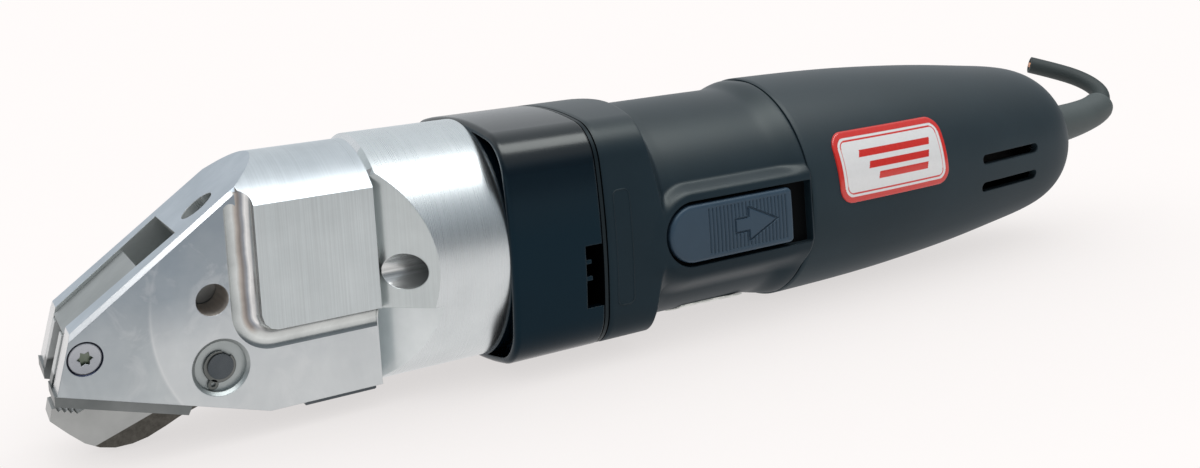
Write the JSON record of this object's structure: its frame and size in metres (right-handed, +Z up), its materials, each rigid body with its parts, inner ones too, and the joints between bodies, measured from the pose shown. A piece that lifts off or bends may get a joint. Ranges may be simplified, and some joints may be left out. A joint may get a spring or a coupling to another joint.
{
  "type": "electric nibbler shear",
  "caption": "Inline electric nibbler for cladding sheet: round motor grip with slide switch, black gear case, milled aluminium fork head, blade swinging between paired fixed blades.",
  "frame": {"origin": "balance point of the tool, the volume centroid of all its pieces, taken on the tool axis", "axes": "+X along the tool axis from the blades to the cable, +Z up through the sloping side of the head, -Y towards the side with the switch slider"},
  "size_m": [0.3866, 0.0693, 0.0684],
  "materials": {
    "machined_aluminium": "milled and turned, bare",
    "tool_steel": "hardened and ground",
    "bright_steel": "plain steel",
    "black_oxide": "blackened",
    "bearing_steel": "ground",
    "gear_steel": "hardened",
    "sintered_bronze": "plain bronze",
    "black_case": "satin black",
    "housing_plastic": "fine grained",
    "slider_plastic": "smooth",
    "dark_plastic": "moulded",
    "lamination_steel": "stacked sheet",
    "copper": "copper",
    "carbon": "carbon",
    "can_plastic": "glossy",
    "badge_face": "printed, glossy",
    "label_foil": "foil",
    "cable_rubber": "matte"
  },
  "bodies": {
    "tool": {"head_body": "machined_aluminium", "near_fixed_blade": "tool_steel", "far_fixed_blade": "tool_steel", "fixed_blade_screws": "bright_steel", "chip_deflector": "bright_steel", "pivot_pin": "black_oxide", "pivot_circlips": "black_oxide", "pivot_washers": "bearing_steel", "bottom_cover": "black_oxide", "head_screws": "bright_steel", "gear_case_screws": "bright_steel", "gear_case": "black_case", "joint_plate": "black_case", "grip_housing": "housing_plastic", "rear_housing": "housing_plastic", "switch_block": "dark_plastic", "suppressor_capacitor": "can_plastic", "terminal_block": "dark_plastic", "field_core": "lamination_steel", "field_windings": "copper", "output_front_bearing_outer": "bearing_steel", "output_rear_bearing_outer": "bearing_steel", "armature_front_bearing_outer": "bearing_steel", "armature_rear_bearing_outer": "bearing_steel", "lay_shaft_bush": "sintered_bronze", "rear_bearing_bracket": "dark_plastic", "carbon_brushes": "carbon", "brush_holders": "sintered_bronze", "brush_springs": "bright_steel", "badge_plate": "badge_face", "rating_plate": "label_foil", "cable": "cable_rubber", "cable_cores": "copper", "cable_sleeve": "cable_rubber", "cable_clamp": "dark_plastic"},
    "lever": {"moving_blade": "tool_steel"},
    "armature": {"armature_shaft": "gear_steel", "armature_core": "lamination_steel", "armature_windings": "copper", "commutator": "copper", "cooling_fan": "dark_plastic", "armature_front_bearing_inner": "bearing_steel", "armature_rear_bearing_inner": "bearing_steel"},
    "countershaft": {"lay_shaft": "gear_steel", "lay_gear": "gear_steel"},
    "eccentric": {"eccentric_shaft": "gear_steel", "output_gear": "gear_steel", "output_front_bearing_inner": "bearing_steel", "output_rear_bearing_inner": "bearing_steel"},
    "roller": {"eccentric_roller": "bearing_steel"},
    "slider": {"switch_slider": "slider_plastic", "switch_rod": "dark_plastic"}
  },
  "joints": [
    {"name": "blade_swing", "type": "hinge", "parent": "tool", "child": "lever", "pos_m": [-0.11114, 0, -0.0163], "axis": [0, 1, 0], "range_deg": [0, 12.4]},
    {"name": "armature_spin", "type": "hinge", "parent": "tool", "child": "armature", "pos_m": [0.01786, 0, 0], "axis": [1, 0, 0], "continuous": true},
    {"name": "countershaft_spin", "type": "hinge", "parent": "tool", "child": "countershaft", "pos_m": [-0.02714, 0, -0.0165], "axis": [1, 0, 0], "continuous": true},
    {"name": "eccentric_spin", "type": "hinge", "parent": "tool", "child": "eccentric", "pos_m": [-0.05714, 0, 0], "axis": [1, 0, 0], "continuous": true},
    {"name": "roller_spin", "type": "hinge", "parent": "eccentric", "child": "roller", "pos_m": [-0.08074, 0, 0.00325], "axis": [1, 0, 0], "continuous": true},
    {"name": "switch_slide", "type": "slide", "parent": "tool", "child": "slider", "axis": [1, 0, 0], "range_m": [0, 0.0042]}
  ],
  "couplings": [
    {"joint": "countershaft_spin", "follows": "armature_spin", "ratio": -0.34146},
    {"joint": "eccentric_spin", "follows": "armature_spin", "ratio": 0.19512}
  ]
}
